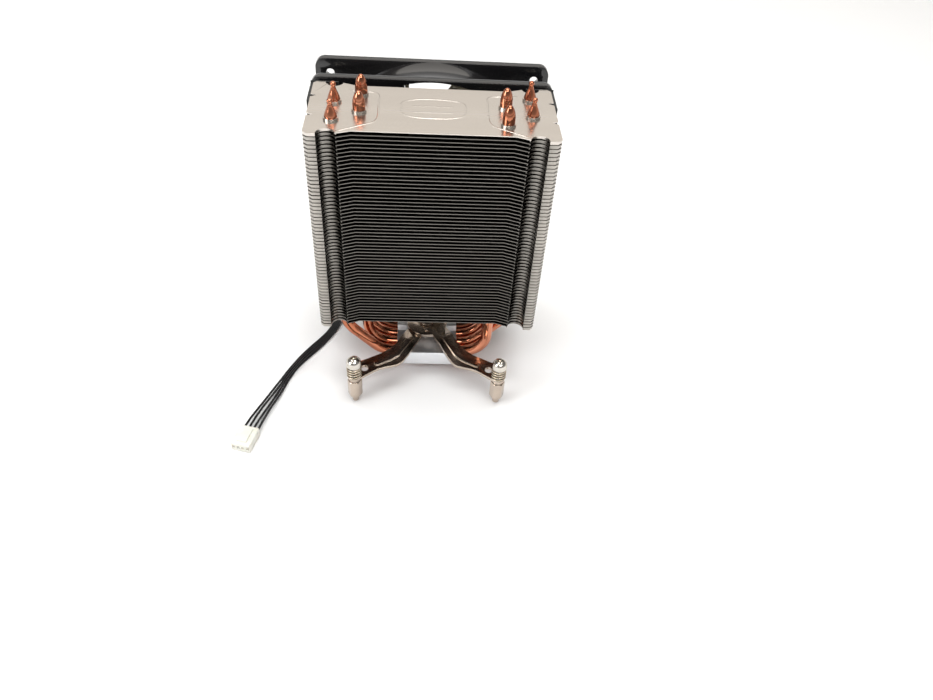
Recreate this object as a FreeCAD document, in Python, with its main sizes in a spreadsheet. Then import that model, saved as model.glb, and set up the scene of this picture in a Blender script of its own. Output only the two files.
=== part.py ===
"""Single-tower cooler for a processor: four heat pipes, a stack of fins, a 120 mm fan and a crossing bracket.

Frame: the origin is the centre of the face that touches the processor, +Z runs up the fin stack and
+Y points to the fan. Millimetres throughout.
"""
import FreeCAD, Part
import math
import os

import Sketcher

V = FreeCAD.Vector
doc = FreeCAD.newDocument("tower_cooler")

# ---------------------------------------------------------------- driving dimensions
SIZES = {
    # base block
    "block_wide": 34.5, "block_deep": 40.0, "block_high": 8.9, "boss_radius": 6.0, "boss_top": 11.7,
    "lug_inner": 11.7, "lug_deep": 2.6, "lug_front": -0.8, "lug_top": 13.0,
    # heat pipes
    "pipe_radius": 3.0, "pipe_axis_high": 2.4, "pipe_base_pitch": 6.9, "pipe_fin_pitch": 8.5,
    "pipe_near_x": 34.3, "pipe_far_x": 46.5, "pipe_top": 159.0, "pipe_fit": 0.03,
    "near_bend": 15.0, "far_start_x": 25.8, "far_turn_high": 25.3, "far_low_bend": 14.0, "far_high_bend": 20.0,
    # fins
    "fin_wide": 116.0, "fin_deep": 51.0, "fin_gauge": 0.45, "fin_low": 35.8, "fin_top": 149.0, "fin_count": 57,
    "fin_mid_deep": 44.0, "fin_chamfer": 1.8, "fin_centre_y": -1.3, "notch_y": 9.4, "notch_deep": 2.8, "notch_half": 1.5,
    # fan
    "fan_side": 120.0, "fan_deep": 25.0, "fan_face_y": 26.2, "fan_axis_high": 90.8, "fan_corner": 5.0,
    "flange_gauge": 4.0, "duct_radius": 59.0, "duct_wall": 0.95, "fan_hole_pitch": 105.0, "fan_hole_radius": 2.15,
    "clip_hole_radius": 1.85,
    "motor_radius": 21.0, "motor_plate": 2.0, "strut_wide": 3.4, "strut_deep": 3.6, "tube_radius": 4.5,
    "tube_long": 15.0, "sleeve_radius": 3.0, "shaft_radius": 1.5, "bearing_gap": 0.03,
    "gland_wide": 5.6, "gland_deep": 5.4, "gland_high": 8.0, "gland_x": 46.2, "gland_y": 36.0, "gland_low": 54.0,
    "hub_radius": 20.5, "hub_wall": 1.4, "hub_back_y": 31.4, "hub_face_y": 46.4, "blade_count": 7,
    "blade_radius": 57.0, "blade_gauge": 1.3, "yoke_gauge": 0.8, "magnet_gauge": 2.2,
    "core_radius": 15.0, "core_high": 6.0, "core_low_y": 34.5,
    # fan clips
    "clip_gauge": 1.7, "clip_gap": 0.15, "clip_high": 114.0, "pad_gauge": 1.95,
    # crossing bracket
    "arm_gauge": 1.6, "arm_low_top": 10.0, "arm_centre_top": 13.4, "arm_stack_gap": 0.12, "disc_radius": 11.6,
    "pivot_radius": 2.5, "pivot_gap": 0.05, "screw_reach": 40.0, "screw_hole": 2.3,
    # spring screws and standoffs
    "shank_radius": 1.6, "head_radius": 4.1, "head_low": 18.4, "head_high": 5.2, "thread_radius": 1.4,
    "groove_radius": 1.2,
    "spring_wire": 0.9, "spring_radius": 3.7, "spring_turns": 4.0, "standoff_across": 7.0,
    "standoff_top": 7.3, "standoff_low": -4.0, "stud_radius": 1.9, "floor_level": -9.0, "ring_gauge": 0.8,
    # fan lead
    "lead_radius": 1.5, "plug_wide": 10.4, "plug_long": 13.0, "plug_high": 5.6,
}
sheet = doc.addObject("Spreadsheet::Sheet", "Sizes")
for row, (alias, value) in enumerate(SIZES.items(), start=1):
    sheet.set(f"A{row}", alias)
    sheet.set(f"B{row}", str(value))
    sheet.setAlias(f"B{row}", alias)
doc.recompute()


def size(alias):
    """The value of one cell of the sheet."""
    return float(sheet.get(alias))


# ---------------------------------------------------------------- makers used by several sub-parts
nodes = []


def node(obj, name):
    """Marks an object as a finished sub-part, and gives it its name."""
    obj.Label = name
    nodes.append(obj)
    return obj


def bound(kind, name, bindings, spin=None):
    """A Part primitive whose properties follow the sheet; spin is a (axis, degrees) turn."""
    obj = doc.addObject(kind, name)
    if spin:
        obj.Placement = FreeCAD.Placement(V(), FreeCAD.Rotation(*spin))
    for prop, text in bindings.items():
        obj.setExpression(prop, text)
    return obj


def box(name, length, width, height, x, y, z):
    """A box from its lowest corner, each size and place an expression on the sheet."""
    return bound("Part::Box", name, {
        "Length": length, "Width": width, "Height": height,
        "Placement.Base.x": x, "Placement.Base.y": y, "Placement.Base.z": z})


def upright(name, radius, height, x, y, z):
    """A cylinder along +Z."""
    return bound("Part::Cylinder", name, {
        "Radius": radius, "Height": height,
        "Placement.Base.x": x, "Placement.Base.y": y, "Placement.Base.z": z})


def along_y(name, radius, height, y, x="0", z="Sizes.fan_axis_high"):
    """A cylinder along +Y, as everything in the fan is, on the fan's axis unless told otherwise."""
    return bound("Part::Cylinder", name, {
        "Radius": radius, "Height": height,
        "Placement.Base.x": x, "Placement.Base.y": y, "Placement.Base.z": z}, spin=(V(1, 0, 0), -90))


def fuse(name, *shapes):
    """One solid out of several."""
    obj = doc.addObject("Part::MultiFuse", name)
    obj.Shapes = list(shapes)
    obj.Refine = True
    return obj


def cut(name, base, *tools):
    """The base less its tools."""
    tool = tools[0] if len(tools) == 1 else fuse(name + "_tools", *tools)
    obj = doc.addObject("Part::Cut", name)
    obj.Base = base
    obj.Tool = tool
    return obj


def feature(name, shape):
    """A sub-part whose shape is worked out with Part's own functions."""
    place = shape.Placement
    obj = doc.addObject("Part::Feature", name)
    obj.Shape = shape
    obj.Placement = place
    return node(obj, name)


def rounded_path(points, radii, closed=False):
    """Straight runs through the points, with a tangent arc of the given radius at each inner one."""
    count = len(points)
    corners = range(count) if closed else range(1, count - 1)
    entry, leave, middle = {}, {}, {}
    for i in corners:
        here = points[i]
        back = (points[i - 1] - here).normalize()
        ahead = (points[(i + 1) % count] - here).normalize()
        half = back.getAngle(ahead) / 2
        reach = radii[i] / math.tan(half)
        entry[i] = here + back * reach
        leave[i] = here + ahead * reach
        middle[i] = here + (back + ahead).normalize() * (radii[i] / math.sin(half) - radii[i])
    edges = []
    start = leave[0] if closed else points[0]
    for i in list(range(1, count)) + ([0] if closed else []):
        end = entry.get(i, points[i])
        if (end - start).Length > 1e-6:
            edges.append(Part.LineSegment(start, end).toShape())
        if i in entry:
            edges.append(Part.Arc(entry[i], middle[i], leave[i]).toShape())
            start = leave[i]
    return Part.Wire(edges)


def swept_tube(path, radius):
    """A round bar along a wire of lines and arcs, starting square to its first edge."""
    first = path.OrderedEdges[0]
    start = first.valueAt(first.FirstParameter)
    heading = first.tangentAt(first.FirstParameter)
    ring = Part.Wire([Part.Circle(start, heading, radius).toShape()])
    tube = path.makePipeShell([ring], True, True)
    expected = math.pi * radius ** 2 * path.Length
    if abs(tube.Volume - expected) > 0.01 * expected:
        raise ValueError("a swept tube's volume is not its section times its length")
    return tube


def turned(profile, axis_point, axis=V(0, 0, 1)):
    """A solid of revolution from (radius, height) points about an axis along +Z."""
    points = [axis_point + V(r, 0, h) for r, h in profile]
    face = Part.Face(Part.makePolygon(points + points[:1]))
    return face.revolve(axis_point, axis, 360)


# ---------------------------------------------------------------- base block
# Machined aluminium. Four grooves in its underside hold the pipes flush with the contact face. The bracket
# turns on a boss on top, and two lugs beside it stop the arms from opening past a square.
def base_block():
    body = doc.addObject("PartDesign::Body", "block_body")
    plan = body.newObject("Sketcher::SketchObject", "block_plan")
    plane = [f for f in body.Origin.OriginFeatures if f.Role == "XY_Plane"][0]
    plan.AttachmentSupport = [(plane, "")]
    plan.MapMode = "FlatFace"
    w, d = size("block_wide") / 2, size("block_deep") / 2
    corners = [V(-w, -d, 0), V(w, -d, 0), V(w, d, 0), V(-w, d, 0)]
    for i in range(4):
        plan.addGeometry(Part.LineSegment(corners[i], corners[(i + 1) % 4]))
    for i in range(4):
        plan.addConstraint(Sketcher.Constraint("Coincident", i, 2, (i + 1) % 4, 1))
    for i in (0, 2):
        plan.addConstraint(Sketcher.Constraint("Horizontal", i))
        plan.addConstraint(Sketcher.Constraint("Vertical", i + 1))
    plan.addConstraint(Sketcher.Constraint("Symmetric", 0, 1, 2, 1, -1, 1))
    wide = plan.addConstraint(Sketcher.Constraint("DistanceX", 0, 1, 0, 2, 2 * w))
    deep = plan.addConstraint(Sketcher.Constraint("DistanceY", 1, 1, 1, 2, 2 * d))
    plan.setExpression(f"Constraints[{wide}]", "Sizes.block_wide")
    plan.setExpression(f"Constraints[{deep}]", "Sizes.block_deep")
    pad = body.newObject("PartDesign::Pad", "block_pad")
    pad.Profile = plan
    pad.setExpression("Length", "Sizes.block_high")
    doc.recompute()

    boss = upright("block_boss", "Sizes.boss_radius", "Sizes.boss_top - Sizes.block_high", "0", "0",
                   "Sizes.block_high")
    lug_long = "Sizes.block_wide / 2 - Sizes.lug_inner"
    lugs = [box(f"block_lug_{side}", lug_long, "Sizes.lug_deep", "Sizes.lug_top - Sizes.block_high", x,
                "Sizes.lug_front", "Sizes.block_high")
            for side, x in (("left", "-Sizes.block_wide / 2"), ("right", "Sizes.lug_inner"))]
    grooves = [bound("Part::Cylinder", f"block_groove_{k}", {
        "Radius": "Sizes.pipe_radius + Sizes.pipe_fit", "Height": "Sizes.block_wide + 2",
        "Placement.Base.x": "-Sizes.block_wide / 2 - 1",
        "Placement.Base.y": f"Sizes.pipe_base_pitch * {1.5 - k}",
        "Placement.Base.z": "Sizes.pipe_axis_high"}, spin=(V(0, 1, 0), 90)) for k in range(4)]
    hole = upright("block_pivot_hole", "Sizes.pivot_radius + Sizes.pipe_fit", "8", "0", "0",
                   "Sizes.block_high - 2")
    whole = fuse("block_whole", body, boss, *lugs)
    node(cut("base_block_cut", whole, hole, *grooves), "base_block")

    head = upright("pivot_head", "4.2", "1.3", "0", "0",
                   "Sizes.arm_centre_top + Sizes.arm_stack_gap * 2 + Sizes.arm_gauge")
    shank = upright("pivot_shank", "Sizes.pivot_radius",
                    "Sizes.arm_centre_top + 0.5 + Sizes.arm_gauge - Sizes.block_high + 1.5", "0", "0",
                    "Sizes.block_high - 1.5")
    node(fuse("pivot", head, shank), "bracket_pivot")


# ---------------------------------------------------------------- heat pipes
# Each pipe is one 6 mm copper tube bent into an uneven U. It lies in the base, one leg rises near the block
# and the other leans out and rises further away. One end is drawn to a long sealed neck, the other is round.
def tip_profile(drawn):
    r, low, top = size("pipe_radius"), size("fin_top"), size("pipe_top")
    if drawn:
        return [(0, low), (r, low), (r, low + 1.6), (2.6, low + 3.0), (1.9, low + 5.0), (1.25, low + 6.8),
                (1.05, low + 7.8), (1.3, low + 8.5), (1.3, top - 0.8), (0.85, top - 0.2), (0, top)]
    return [(0, low), (r, low), (r, low + 4.6), (2.7, low + 6.2), (2.1, low + 7.8), (1.3, low + 9.1),
            (0.7, top - 0.25), (0, top)]


def pipe_places(k):
    """Where pipe k crosses the base and the fins, and which side its near leg is on."""
    row = 1.5 - k
    near_side = -1 if k % 2 == 0 else 1
    return size("pipe_base_pitch") * row, size("pipe_fin_pitch") * row, near_side


def heat_pipe(k):
    base_y, fin_y, side = pipe_places(k)
    high, top = size("pipe_axis_high"), size("fin_top") + 0.5
    edge, near, far = size("block_wide") / 2, size("pipe_near_x"), size("pipe_far_x")
    far_start = size("far_start_x")
    lean_y = base_y + (fin_y - base_y) * 0.35
    points = [V(side * near, fin_y, top), V(side * near, fin_y, high), V(side * edge, base_y, high),
              V(-side * edge, base_y, high), V(-side * far_start, lean_y, high),
              V(-side * far, fin_y, size("far_turn_high")), V(-side * far, fin_y, top)]
    radii = [0, size("near_bend"), 12.0, 12.0, size("far_low_bend"), size("far_high_bend"), 0]
    tube = swept_tube(rounded_path(points, radii), size("pipe_radius"))
    block_bottom = Part.makeBox(200, 200, 60, V(-100, -100, -60))
    tube = tube.cut(block_bottom)
    near_tip = turned(tip_profile(False), V(side * near, fin_y, 0))
    far_tip = turned(tip_profile(True), V(-side * far, fin_y, 0))
    return tube.fuse([near_tip, far_tip]).removeSplitter()


# ---------------------------------------------------------------- fins
# Stamped aluminium sheets pressed onto the pipes. Each edge has two arched scallops, a straight middle set
# back from the corners, and V notches in the sides that the fan clips grip.
def fin_outline():
    """One quarter of the outline, mirrored to all four."""
    x, y = size("fin_wide") / 2, size("fin_deep") / 2
    chamfer, mid = size("fin_chamfer"), size("fin_mid_deep") / 2
    notch_x, half = x - size("notch_deep"), size("notch_half")
    cusp, arch, wing = V(43.6, y - 1.0, 0), V(47.9, y - 4.7, 0), V(52.2, y, 0)
    centre = size("fin_centre_y")

    def quarter(notch_y):
        return [("line", V(x, notch_y - half, 0)), ("line", V(notch_x, notch_y, 0)),
                ("line", V(x, notch_y + half, 0)), ("line", V(x, y - chamfer, 0)),
                ("line", V(x - chamfer, y, 0)), ("line", wing), ("arc", arch, cusp),
                ("line", V(37.0, mid, 0))]

    rear, front = quarter(size("notch_y") - centre), quarter(size("notch_y") + centre)

    def mirrored(moves, fx, fy):
        return [(m[0],) + tuple(V(p.x * fx, p.y * fy, 0) for p in m[1:]) for m in moves]

    def reverse(moves, start):
        ends = [start] + [m[-1] for m in moves]
        back = []
        for i in range(len(moves) - 1, -1, -1):
            back.append((moves[i][0],) + tuple(moves[i][1:-1][::-1]) + (ends[i],))
        return back

    start = V(x, 0, 0)
    quarter_1 = rear
    quarter_2 = [("line", V(-37.0, mid, 0))] + mirrored(reverse(rear, start), -1, 1)
    quarter_3 = mirrored(front, -1, -1)
    quarter_4 = [("line", V(37.0, -mid, 0))] + mirrored(reverse(front, start), 1, -1)
    here, edges = start, []
    for move in quarter_1 + quarter_2 + quarter_3 + quarter_4:
        if move[0] == "line":
            edges.append(Part.LineSegment(here, move[1]).toShape())
        else:
            edges.append(Part.Arc(here, move[1], move[2]).toShape())
        here = move[-1]
    wire = Part.Wire(edges)
    wire.translate(V(0, centre, 0))
    return wire


def fins():
    sheet_metal = Part.Face(fin_outline())
    for k in range(4):
        _, fin_y, side = pipe_places(k)
        for x in (side * size("pipe_near_x"), -side * size("pipe_far_x")):
            hole = Part.Wire([Part.Circle(V(x, fin_y, 0), V(0, 0, 1), size("pipe_radius")
                                          + size("pipe_fit")).toShape()])
            sheet_metal = sheet_metal.cut(Part.Face(hole))
    fin = sheet_metal.extrude(V(0, 0, size("fin_gauge")))
    if fin.ShapeType == "Compound":
        fin = fin.Solids[0]
    count = int(size("fin_count"))
    pitch = (size("fin_top") - size("fin_low")) / (count - 1)
    stack = [fin.translated(V(0, 0, size("fin_low") + pitch * i)) for i in range(count - 1)]
    feature("fin_stack", Part.makeCompound(stack))
    feature("top_fin", fin.translated(V(0, 0, size("fin_top"))))


# ---------------------------------------------------------------- fan frame
# A moulded square frame: two flanges joined by a round duct, and four struts that hold the motor plate and
# the bearing tube on the side next to the fins.
def fan_frame():
    half = "Sizes.fan_side / 2"
    solid = box("frame_solid", "Sizes.fan_side", "Sizes.fan_deep", "Sizes.fan_side", "-" + half,
                "Sizes.fan_face_y", f"Sizes.fan_axis_high - {half}")
    doc.recompute()
    rounded = doc.addObject("Part::Fillet", "frame_rounded")
    rounded.Base = solid
    rounded.Edges = [(i + 1, size("fan_corner"), size("fan_corner")) for i, e in enumerate(solid.Shape.Edges)
                     if abs(e.tangentAt(e.FirstParameter).y) > 0.9]
    waist = box("frame_waist", "Sizes.fan_side + 2", "Sizes.fan_deep - Sizes.flange_gauge * 2",
                "Sizes.fan_side + 2", f"-{half} - 1", "Sizes.fan_face_y + Sizes.flange_gauge",
                f"Sizes.fan_axis_high - {half} - 1")
    duct = along_y("frame_duct", "Sizes.duct_radius + Sizes.duct_wall", "Sizes.fan_deep",
                   "Sizes.fan_face_y")
    waist_cut = cut("frame_waist_cut", waist, duct)
    air = along_y("frame_air", "Sizes.duct_radius", "Sizes.fan_deep + 2", "Sizes.fan_face_y - 1")
    pitch = "Sizes.fan_hole_pitch / 2"
    corners = [(sx + pitch, f"Sizes.fan_axis_high {sz} {pitch}") for sx in ("-", "") for sz in "-+"]
    holes = [along_y(f"frame_hole_{i}", "Sizes.fan_hole_radius", "Sizes.fan_deep",
                     "Sizes.fan_face_y + Sizes.flange_gauge + 1", x, z) for i, (x, z) in enumerate(corners)]
    holes += [along_y(f"clip_hole_{i}", "Sizes.clip_hole_radius", "Sizes.flange_gauge + 2",
                      "Sizes.fan_face_y - 1", x, z) for i, (x, z) in enumerate(corners)]
    ring = cut("frame_ring", rounded, waist_cut, air, *holes)

    plate = along_y("motor_plate", "Sizes.motor_radius", "Sizes.motor_plate", "Sizes.fan_face_y + 0.4")
    tube = along_y("bearing_tube", "Sizes.tube_radius", "Sizes.tube_long", "Sizes.fan_face_y + 0.4")
    struts = []
    for i, angle in enumerate((20, 110, 200, 290)):
        strut = bound("Part::Box", f"strut_{i}", {
            "Length": "Sizes.duct_radius + 0.8 - Sizes.motor_radius + 3", "Width": "Sizes.strut_deep",
            "Height": "Sizes.strut_wide"})
        turn = FreeCAD.Rotation(V(0, 1, 0), -angle)
        inner = V(size("motor_radius") - 3, size("fan_face_y") + 0.4, -size("strut_wide") / 2)
        lean = FreeCAD.Placement(V(0, 0, size("fan_axis_high")), turn)
        strut.Placement = lean.multiply(FreeCAD.Placement(inner, FreeCAD.Rotation(V(0, 1, 0), 6)))
        struts.append(strut)
    gland = cut("lead_gland", box("gland_block", "Sizes.gland_wide", "Sizes.gland_deep", "Sizes.gland_high",
                                  "Sizes.gland_x", "Sizes.gland_y", "Sizes.gland_low"),
                along_y("gland_air", "Sizes.duct_radius", "Sizes.fan_deep", "Sizes.fan_face_y"))
    bore = along_y("bearing_bore", "Sizes.sleeve_radius", "Sizes.tube_long + 2", "Sizes.fan_face_y + 2.4")
    frame = fuse("frame_whole", ring, plate, tube, gland, *struts)
    node(cut("frame", frame, bore), "fan_frame")


# ---------------------------------------------------------------- motor
# Stator parts stay on the frame's bearing tube. The cup, magnet and shaft turn with the blades.
def tube_y(name, outer, inner, long, y):
    """A plain ring along the fan's axis."""
    return cut(name + "_ring", along_y(name + "_outer", outer, long, y),
               along_y(name + "_inner", inner, long + " + 0.2", y + " - 0.1"))


def fan_point(x, y, z):
    return V(x, y, size("fan_axis_high") + z)


def stator():
    node(tube_y("bearing", "Sizes.sleeve_radius", "Sizes.shaft_radius + Sizes.bearing_gap", "11.5",
                "Sizes.fan_face_y + 3.4"), "bearing_sleeve")
    node(tube_y("board", "16.5", "Sizes.tube_radius + 0.1", "1.2", "Sizes.fan_face_y + 3.2"),
         "circuit_board")
    y, high, outer = size("core_low_y"), size("core_high"), size("core_radius")
    turn = FreeCAD.Rotation(V(1, 0, 0), -90)
    centre = fan_point(0, y, 0)
    core = Part.makeCylinder(7.0, high)
    for i in range(4):
        neck = Part.makeBox(outer - 6, 3.0, high, V(5, -1.5, 0))
        shoe = Part.makeCylinder(outer, high, V(), V(0, 0, 1), 72).cut(
            Part.makeCylinder(outer - 1.6, high, V(), V(0, 0, 1), 72))
        shoe.rotate(V(), V(0, 0, 1), -36)
        pole = neck.fuse(shoe)
        pole.rotate(V(), V(0, 0, 1), 90 * i)
        core = core.fuse(pole)
    core = core.cut(Part.makeCylinder(size("tube_radius") + 0.02, high)).removeSplitter()
    core.Placement = FreeCAD.Placement(centre, turn)
    feature("stator_core", core)
    coils = []
    for i in range(4):
        coil = Part.makeBox(4.6, 7.4, high + 3, V(8.2, -3.7, -1.5)).cut(
            Part.makeBox(5.0, 3.2, high + 0.2, V(8.0, -1.6, -0.1)))
        coil.rotate(V(), V(0, 0, 1), 90 * i)
        coil.Placement = FreeCAD.Placement(centre, turn).multiply(coil.Placement)
        coils.append(coil)
    feature("stator_coils", Part.makeCompound(coils))


def rotor():
    hub_long = "Sizes.hub_face_y - Sizes.hub_back_y"
    cup = cut("hub_cup", along_y("hub_outer", "Sizes.hub_radius", hub_long, "Sizes.hub_back_y"),
              along_y("hub_inner", "Sizes.hub_radius - Sizes.hub_wall", hub_long + " - Sizes.hub_wall",
                      "Sizes.hub_back_y"))
    doc.recompute()
    count = int(size("blade_count"))
    hub_r, tip_r, gauge = size("hub_radius"), size("blade_radius"), size("blade_gauge")
    back, face = size("hub_back_y"), size("hub_face_y")

    def section(radius, sweep, span_deg, low, high):
        """A cambered plate section standing square to a radius: two arcs joined by short ends."""
        chord = 2 * radius * math.sin(math.radians(span_deg) / 2)
        a, b = V(-chord / 2, low, 0), V(chord / 2, high, 0)
        across = V(-(b - a).y, (b - a).x, 0).normalize()
        crown = (a + b) * 0.5 + across * (chord * 0.1)
        top = Part.Arc(a + across * gauge, crown + across * gauge, b + across * gauge).toShape()
        low_arc = Part.Arc(b, crown, a).toShape()
        wire = Part.Wire([top, Part.LineSegment(b + across * gauge, b).toShape(), low_arc,
                          Part.LineSegment(a, a + across * gauge).toShape()])
        wire.Placement = FreeCAD.Placement(V(0, 0, radius), FreeCAD.Rotation())
        turn = FreeCAD.Placement(fan_point(0, 0, 0), FreeCAD.Rotation(V(0, 1, 0), sweep))
        wire.Placement = turn.multiply(wire.Placement)
        return wire

    first = 180 / count
    sections = [section(hub_r - 0.8, first - 14, 38, back + 2.4, face - 1.6),
                section(36, first - 8, 34, back + 1.8, face - 2.4),
                section(tip_r, first, 29, back + 1.2, face - 4.0)]
    blade = Part.makeLoft(sections, True, False)
    blades = doc.addObject("Part::Feature", "blade_ring")
    copies = []
    for i in range(count):
        copy = blade.copy()
        copy.rotate(fan_point(0, 0, 0), V(0, 1, 0), 360 / count * i)
        copies.append(copy)
    inside = Part.makeCylinder(hub_r - 0.7, 40, fan_point(0, 20, 0), V(0, 1, 0))
    sweep_disc = Part.makeCylinder(tip_r, 40, fan_point(0, 20, 0), V(0, 1, 0))
    blades.Shape = Part.makeCompound([c.common(sweep_disc).cut(inside) for c in copies])
    node(fuse("fan_rotor_whole", cup, *blade_solids(blades)), "fan_rotor")

    yoke_r = "Sizes.hub_radius - Sizes.hub_wall - 0.02"
    yoke_low = "Sizes.hub_back_y + 0.6"
    yoke_long = "Sizes.hub_face_y - Sizes.hub_wall - Sizes.hub_back_y - 0.7"
    yoke = cut("yoke_cup", along_y("yoke_outer", yoke_r, yoke_long, yoke_low),
               along_y("yoke_inner", yoke_r + " - Sizes.yoke_gauge", yoke_long + " - Sizes.yoke_gauge",
                       yoke_low))
    seat = along_y("yoke_seat", "Sizes.shaft_radius + 0.01", "20", "Sizes.hub_back_y")
    node(cut("yoke", yoke, seat), "rotor_yoke")
    node(tube_y("magnet", yoke_r + " - Sizes.yoke_gauge - 0.02",
                yoke_r + " - Sizes.yoke_gauge - Sizes.magnet_gauge", "10", "Sizes.hub_back_y + 1.4"),
         "rotor_magnet")
    node(along_y("shaft", "Sizes.shaft_radius", "Sizes.hub_face_y - Sizes.hub_wall - Sizes.fan_face_y - 3.0",
                 "Sizes.fan_face_y + 2.9"), "rotor_shaft")


def blade_solids(blades):
    """Each blade as an object of its own, so that the fuse sees plain solids."""
    made = []
    for i, solid in enumerate(blades.Shape.Solids):
        obj = doc.addObject("Part::Feature", f"blade_{i}")
        obj.Shape = solid
        made.append(obj)
    return made


# ---------------------------------------------------------------- fan clips, pads and screws
# A moulded clip on each side is screwed to the near flange. Its long hook lies beside the fins and snaps
# into their V notches. Thin rubber pads keep the frame off the fins.
def clips():
    x = size("fin_wide") / 2 + size("clip_gap")
    gauge, high, face = size("clip_gauge"), size("clip_high"), size("fan_face_y")
    z0 = size("fan_axis_high") - high / 2
    pitch, axis_z = size("fan_hole_pitch") / 2, size("fan_axis_high")
    lug_gauge = 0.6
    for side, sign in (("left", -1), ("right", 1)):
        strip = Part.makeBox(gauge, face - 7.4, high, V(x, 7.4, z0))
        hook = Part.makePolygon([V(x + 0.1, 8.4, z0), V(x - 1.9, 9.4, z0), V(x + 0.1, 10.4, z0),
                                 V(x + 0.1, 8.4, z0)])
        ridge = Part.Face(hook).extrude(V(0, 0, high))
        foot_low = face - lug_gauge
        shape = strip.fuse(ridge)
        for z in (axis_z - pitch, axis_z + pitch):
            lug = Part.makeBox(x + gauge - 46.0, face - foot_low, 11, V(46.0, foot_low, z - 5.5))
            shape = shape.fuse(lug)
            shape = shape.cut(Part.makeCylinder(1.6, 6, V(pitch, foot_low - 3, z), V(0, 1, 0)))
        shape = shape.removeSplitter()
        if sign < 0:
            shape = shape.mirror(V(), V(1, 0, 0))
        feature(f"fan_clip_{side}", shape)

    pads, screws = [], []
    for sx in (-1, 1):
        for sz in (-1, 1):
            low = V(sx * 55.2 - 2.0, face - size("pad_gauge"), axis_z + sz * 28 - 10)
            pads.append(Part.makeBox(4.0, size("pad_gauge"), 20, low))
            spot = V(sx * pitch, face + size("flange_gauge"), axis_z + sz * pitch)
            head = Part.makeCylinder(3.6, 2.0, spot, V(0, 1, 0)).cut(
                Part.makeBox(0.8, 1.2, 4.6, spot + V(-0.4, 1.0, -2.3))).cut(
                Part.makeBox(4.6, 1.2, 0.8, spot + V(-2.3, 1.0, -0.4)))
            shank = Part.makeCylinder(1.55, size("flange_gauge") + 0.6, spot, V(0, -1, 0))
            screws.append(head.fuse(shank))
    feature("vibration_pads", Part.makeCompound(pads))
    feature("clip_screws", Part.makeCompound(screws))


# ---------------------------------------------------------------- crossing bracket
# Two pressed steel arms cross over the block and turn on one pivot. In plan each end has an elbow and a
# broad ear with a spare hole; from the side the middle stands higher than the ears.
def arm_outline():
    """The outline of one arm, half of it listed and the other half turned by 180 degrees."""
    reach = size("screw_reach")
    half = [(V(11.0, -3.8, 0), 2.0), (V(17.5, -15.1, 0), 12.0), (V(21.8, -19.4, 0), 8.0),
            (V(34.3, -26.6, 0), 6.0), (V(38.6, -28.8, 0), 3.0), (V(reach + 4.3, -reach - 0.6, 0), 3.2),
            (V(reach + 0.6, -reach - 4.6, 0), 3.2), (V(27.5, -34.2, 0), 20.0),
            (V(14.6, -30.4, 0), 8.0), (V(10.1, -23.8, 0), 12.0), (V(3.0, -10.5, 0), 2.0)]
    points = [p for p, _ in half] + [V(-p.x, -p.y, 0) for p, _ in half]
    radii = [r for _, r in half] * 2
    return rounded_path(points, radii, closed=True)


def bracket_arm(name, lift, mirrored, disc):
    gauge, low, centre = size("arm_gauge"), size("arm_low_top"), size("arm_centre_top") + lift
    plan = Part.Face(arm_outline()).extrude(V(0, 0, 40))
    if disc:
        plan = plan.fuse(Part.makeCylinder(disc, 40))
    steps = [(-70, low), (-34, low), (-18, centre), (18, centre), (34, low), (70, low)]
    top = [V(s, 0, z) for s, z in steps]
    under = [V(s, 0, z - gauge) for s, z in reversed(steps)]
    band = Part.Face(Part.makePolygon(top + under + top[:1])).extrude(V(0, 80, 0))
    band.translate(V(0, -40, 0))
    band.rotate(V(), V(0, 0, 1), -45)
    arm = plan.common(band)

    def rib_run(points):
        """A raised rib along a run of plan points, following the arm's own profile."""
        strip = None
        for a, b in zip(points, points[1:]):
            along = (b - a).normalize()
            side = V(-along.y, along.x, 0) * 1.7
            piece = Part.Face(Part.makePolygon([a - side, b - side, b + side, a + side, a - side]))
            piece = piece.extrude(V(0, 0, 40)).fuse(Part.makeCylinder(1.7, 40, b))
            strip = piece if strip is None else strip.fuse(piece)
        raised = band.copy()
        raised.translate(V(0, 0, 0.7))
        return strip.common(raised)

    for sign in (1, -1):
        run = [V(9.0, -12.0, 0) * sign, V(17.2, -24.0, 0) * sign, V(28.0, -30.2, 0) * sign]
        if disc is None or lift == 0:
            run[0] = V(10.0, -13.5, 0) * sign
        arm = arm.fuse(rib_run(run))
        reach = size("screw_reach") * sign
        arm = arm.cut(Part.makeCylinder(size("screw_hole"), 40, V(reach, -reach, 0)))
        arm = arm.cut(Part.makeCylinder(2.1, 40, V(34.9 * sign, -34.1 * sign, 0)))
    arm = arm.cut(Part.makeCylinder(size("pivot_radius") + size("pivot_gap"), 40))
    if lift:
        stud = Part.makeCylinder(1.3, 1.6, V(0, -7.8, centre - 0.2))
        arm = arm.fuse(stud)
    arm = arm.removeSplitter()
    if mirrored:
        arm = arm.mirror(V(), V(1, 0, 0))
    feature(name, arm)


# ---------------------------------------------------------------- spring screws and standoffs
# At each end of the bracket a spring sits between the arm and a domed screw head. A ring in a groove keeps
# the screw in the arm. The screw's thread is in a hexagonal standoff with a threaded stud below it.
POSTS = (("front_left", -1, -1), ("front_right", 1, -1), ("rear_left", -1, 1), ("rear_right", 1, 1))


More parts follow.
